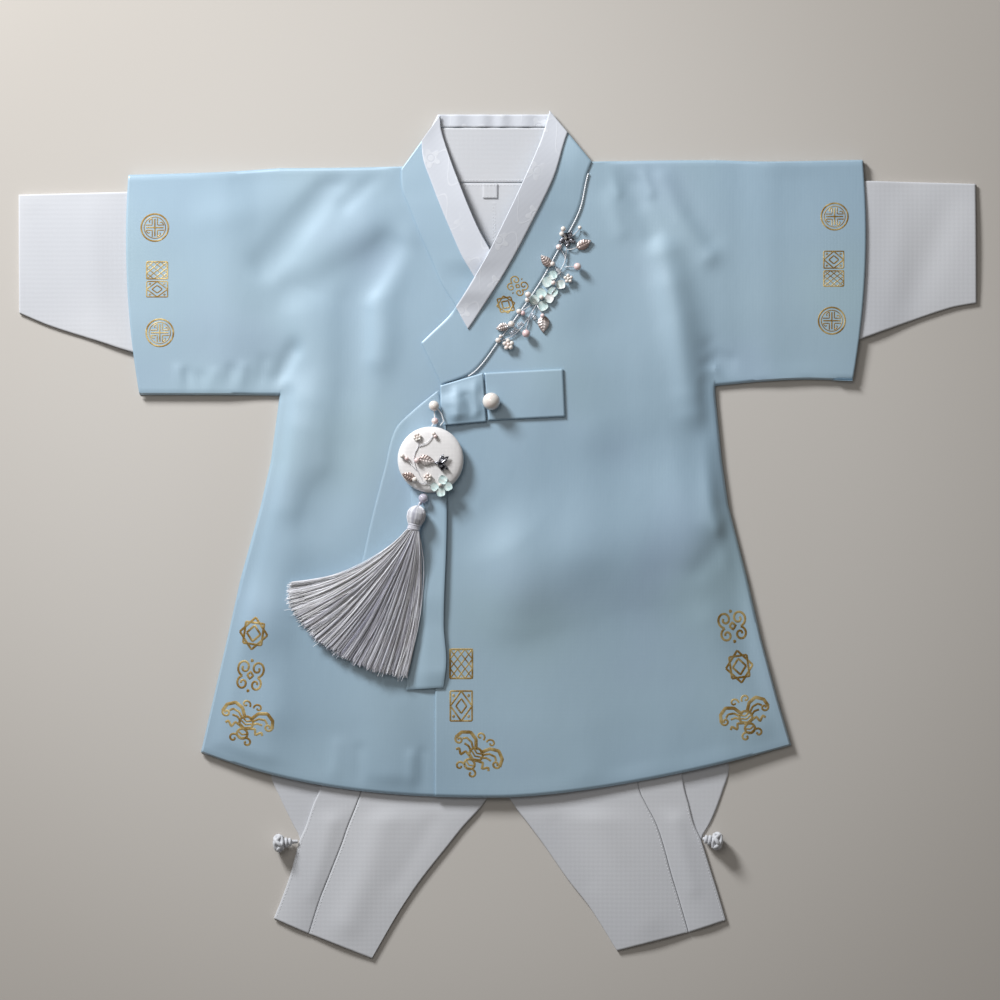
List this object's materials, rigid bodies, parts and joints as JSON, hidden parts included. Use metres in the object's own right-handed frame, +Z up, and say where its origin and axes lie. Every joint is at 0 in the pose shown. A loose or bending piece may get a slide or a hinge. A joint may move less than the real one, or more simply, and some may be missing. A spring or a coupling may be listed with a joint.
{
  "type": "korean hanbok set for a baby boy, laid flat",
  "caption": "Child's hanbok laid flat: blue jacket with wrapped front, ribbon fastening and tassel ornament over white inner sleeves and white trousers.",
  "frame": {"origin": "on the surface the garment lies on, at the middle of its width and length", "axes": "+X to the right of the laid garment as seen from above, +Y from the trousers to the neck, +Z up"},
  "size_m": [0.6508, 0.576, 0.0225],
  "materials": {
    "blue_satin": "light blue satin with a soft sheen",
    "white_cloth": "plain matt white cotton and rayon",
    "white_brocade": "white tone-on-tone brocade silk",
    "piping_cord": "silvery white twisted cord",
    "pearl": "pearl lustre",
    "disc_silk": "white silk over a padded disc",
    "tassel_thread": "grey-lavender silk thread",
    "silver_leaf": "rose and silver coloured stamped metal",
    "dark_silver": "dark oxidised silver coloured metal",
    "mint_petal": "clear mint petals",
    "lavender_bead": "clear lavender bead"
  },
  "bodies": {
    "root": {"jacket_back": "blue_satin", "jacket_front_under": "blue_satin", "jacket_front_over": "blue_satin", "sleeve_left_back": "blue_satin", "sleeve_left_front": "blue_satin", "sleeve_right_back": "blue_satin", "sleeve_right_front": "blue_satin", "collar_back": "blue_satin", "collar_under": "blue_satin", "collar_over": "blue_satin", "ribbon_tail_wide": "blue_satin", "ribbon_tail_narrow": "blue_satin", "ribbon_tab": "blue_satin", "ribbon_knot": "blue_satin", "trouser_left_back": "white_cloth", "trouser_left_front": "white_cloth", "trouser_left_flap": "white_cloth", "trouser_right_back": "white_cloth", "trouser_right_front": "white_cloth", "trouser_right_flap": "white_cloth", "trouser_waistband": "white_cloth", "knot_button_left": "white_cloth", "knot_button_right": "white_cloth", "inner_sleeve_left_back": "white_cloth", "inner_sleeve_left_front": "white_cloth", "inner_sleeve_right_back": "white_cloth", "inner_sleeve_right_front": "white_cloth", "lining_back": "white_cloth", "lining_yoke": "white_cloth", "label": "white_cloth", "neck_band": "white_brocade", "strip_under": "white_brocade", "strip_over": "white_brocade", "piping": "piping_cord", "hanging_string": "piping_cord", "pearl_button": "pearl", "pearl_small": "pearl", "hanging_bead": "pearl", "spray_flower_4": "pearl", "spray_pearl_1": "pearl", "spray_pearl_2": "pearl", "spray_pearl_3": "pearl", "spray_pearl_4": "pearl", "disc": "disc_silk", "tassel": "tassel_thread", "spray_leaf_1": "silver_leaf", "spray_leaf_2": "silver_leaf", "spray_leaf_3": "silver_leaf", "spray_leaf_4": "silver_leaf", "spray_stem_1": "silver_leaf", "spray_stem_2": "silver_leaf", "disc_leaf_1": "silver_leaf", "disc_leaf_2": "silver_leaf", "spray_flower_1": "dark_silver", "disc_butterfly": "dark_silver", "spray_flower_2": "mint_petal", "spray_flower_3": "mint_petal", "disc_flower": "mint_petal", "link_bead": "lavender_bead"}
  },
  "joints": []
}
